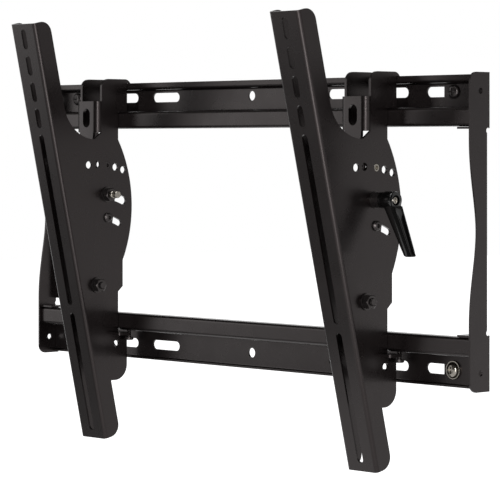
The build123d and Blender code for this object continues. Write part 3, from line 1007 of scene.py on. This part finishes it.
@dataclass
class Solids:
    """The solids of the frame, with a finish for each material slot.

    Attributes:
        frame: The loaded frame.
    """

    frame: dict

    def dress(self) -> None:
        """Give each solid the finish of its slot."""
        slots = {row["node"]: row["material_slot"] for row in self.frame["record"]["subparts"]}
        for name, solid in self.frame["nodes"].items():
            finish = SLOT_FINISH[slots[name]]
            solid.data.materials.clear()
            solid.data.materials.append(finish.material())
            LOG.info("%s in %s", name, finish.name)


@dataclass(frozen=True)
class SoftLight:
    """A square soft light.

    Attributes:
        name: Name of the light.
        place: Where it stands, in metres.
        size: Length of its side, in metres.
        power: Power in watts.
        aim: Point that it faces, in metres.
    """

    name: str
    place: Place
    size: float
    power: float
    aim: Place = (0.0, 0.0, 0.0)

    def build(self) -> None:
        """Add the light to the scene."""
        data = bpy.data.lights.new(self.name, "AREA")
        data.size = self.size
        data.energy = self.power
        light = bpy.data.objects.new(self.name, data)
        light.visible_camera = False
        light.location = self.place
        towards = Vector(self.aim) - Vector(self.place)
        light.rotation_euler = towards.to_track_quat("-Z", "Y").to_euler()
        bpy.context.scene.collection.objects.link(light)


SOFT_LIGHTS = (
    SoftLight("key_left", (-3.1, -2.5, 0.75), 2.2, 32.0),
    SoftLight("top_soft", (0.2, -0.8, 2.6), 2.6, 90.0),
    SoftLight("fill_right", (3.0, -0.4, 0.5), 1.6, 10.0, (0.2, 0.0, 0.0)),
    SoftLight("back_right", (2.6, 2.5, 0.3), 3.0, 20.0),
    SoftLight("back_left", (-2.6, 2.6, 0.9), 2.4, 20.0),
    SoftLight("low_front", (1.0, -1.0, -0.38), 0.8, 13.0, (0.0, -0.05, 0.0)),
    SoftLight("front_strip", (2.3, -2.4, 0.7), 0.7, 60.0),
)


@dataclass
class Studio:
    """Plain studio: a glowing pale floor, a white surround and large soft lights.

    Attributes:
        floor_z: Height of the floor, in metres.
        floor_size: Length of the floor's side, in metres.
        floor_colour: Colour of the floor, as sRGB hex.
        floor_rough: Roughness of the floor.
        floor_specular: Specular level of the floor.
        glow_colour: Colour of the floor's glow, as sRGB hex.
        glow: Strength of the floor's glow.
        flag_place: Middle of the dark flag, in metres. It keeps part of the floor's glow off the bracket's
            front, and the camera doesn't see it.
        flag_radius: Radius of the flag, in metres.
        flag_glow: Strength of the glow that is left on the flag.
        surround_colour: Colour of the light that the surround gives, as sRGB hex.
        surround_light: Strength of that light.
    """

    floor_z: float = -0.42
    floor_size: float = 14.0
    floor_colour: str = "6f6f6f"
    floor_rough: float = 0.9
    floor_specular: float = 0.1
    glow_colour: str = "fdfdfd"
    glow: float = 1.2
    flag_place: Place = (-1.1, -0.95, -0.41)
    flag_radius: float = 0.95
    flag_glow: float = 0.25
    surround_colour: str = "f4f1ee"
    surround_light: float = 0.14

    def build(self) -> None:
        """Make the floor, the flag, the surround and the lights."""
        shape = bmesh.new()
        bmesh.ops.create_grid(shape, x_segments=1, y_segments=1, size=self.floor_size / 2)
        floor = new_object("studio_floor", shape)
        floor.location.z = self.floor_z
        floor.data.materials.append(self.board_material("pale_floor", self.glow))
        shape = bmesh.new()
        bmesh.ops.create_circle(shape, cap_ends=True, segments=LARGE_ROUND, radius=self.flag_radius)
        flag = new_object("studio_flag", shape)
        flag.location = self.flag_place
        flag.visible_camera = False
        flag.data.materials.append(self.board_material("dark_flag", self.flag_glow))
        self.surround()
        for light in SOFT_LIGHTS:
            light.build()

    def board_material(self, name: str, glow: float) -> bpy.types.Material:
        """Build a matt board with a glow.

        Args:
            name: Name of the material.
            glow: Strength of its glow.

        Returns:
            The new material.
        """
        made = bpy.data.materials.new(name)
        made.use_nodes = True
        tree = made.node_tree
        tree.nodes.clear()
        shader = node(tree, "ShaderNodeBsdfPrincipled", {
            "Base Color": linear(self.floor_colour),
            "Roughness": self.floor_rough,
            "Specular IOR Level": self.floor_specular,
            "Emission Color": linear(self.glow_colour),
            "Emission Strength": glow,
        })
        node(tree, "ShaderNodeOutputMaterial", {"Surface": shader.outputs["BSDF"]})
        return made

    def surround(self) -> None:
        """Make the white surround, which lights the scene less than it shows."""
        world = bpy.data.worlds.new("studio_surround")
        world.use_nodes = True
        tree = world.node_tree
        tree.nodes.clear()
        seen = node(tree, "ShaderNodeLightPath").outputs["Is Camera Ray"]
        white = node(tree, "ShaderNodeBackground", {"Color": linear("ffffff"), "Strength": 1.0})
        dim = node(tree, "ShaderNodeBackground", {
            "Color": linear(self.surround_colour), "Strength": self.surround_light,
        })
        both = node(tree, "ShaderNodeMixShader", {0: seen, 1: dim.outputs[0], 2: white.outputs[0]})
        node(tree, "ShaderNodeOutputWorld", {"Surface": both.outputs[0]})
        bpy.context.scene.world = world


@dataclass
class Camera:
    """Camera at the photograph's angle, level, with a shift for its framing.

    Attributes:
        azimuth: Turn about the vertical, in degrees.
        place: Where it stands, in metres.
        focal_px: Focal length, in pixels of the picture.
        sensor_mm: Width of the sensor.
        horizon_rise_px: How far the horizon lies above the picture's middle.
        reach: Farthest distance that it sees, in metres.
    """

    azimuth: float = 47.0
    place: Place = (2.0236, -1.8935, 0.0845)
    focal_px: float = 2596.0
    sensor_mm: float = 36.0
    horizon_rise_px: float = 96.5
    reach: float = 100.0

    def build(self) -> None:
        """Make the camera and set it for the scene."""
        data = bpy.data.cameras.new("photo_camera")
        data.sensor_fit = "HORIZONTAL"
        data.sensor_width = self.sensor_mm
        data.lens = self.focal_px / IMAGE_WIDTH * self.sensor_mm
        data.shift_y = -self.horizon_rise_px / IMAGE_WIDTH
        data.clip_end = self.reach
        camera = bpy.data.objects.new("photo_camera", data)
        camera.location = self.place
        camera.rotation_euler = (math.pi / 2, 0.0, math.radians(self.azimuth))
        bpy.context.scene.collection.objects.link(camera)
        bpy.context.scene.camera = camera


def main() -> None:
    """Load the frame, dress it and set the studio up."""
    logging.basicConfig(level=logging.INFO, format="%(name)s: %(message)s")
    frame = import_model()
    Solids(frame).dress()
    threads = thread_tree()
    FrameScrews().build(copy_tree())
    for side in Side:
        TiltFasteners(side).build(threads)
    ClampLever().build()
    Studio().build()
    Camera().build()
    bpy.context.scene.view_settings.view_transform = "Standard"


if __name__ == "__main__":
    main()
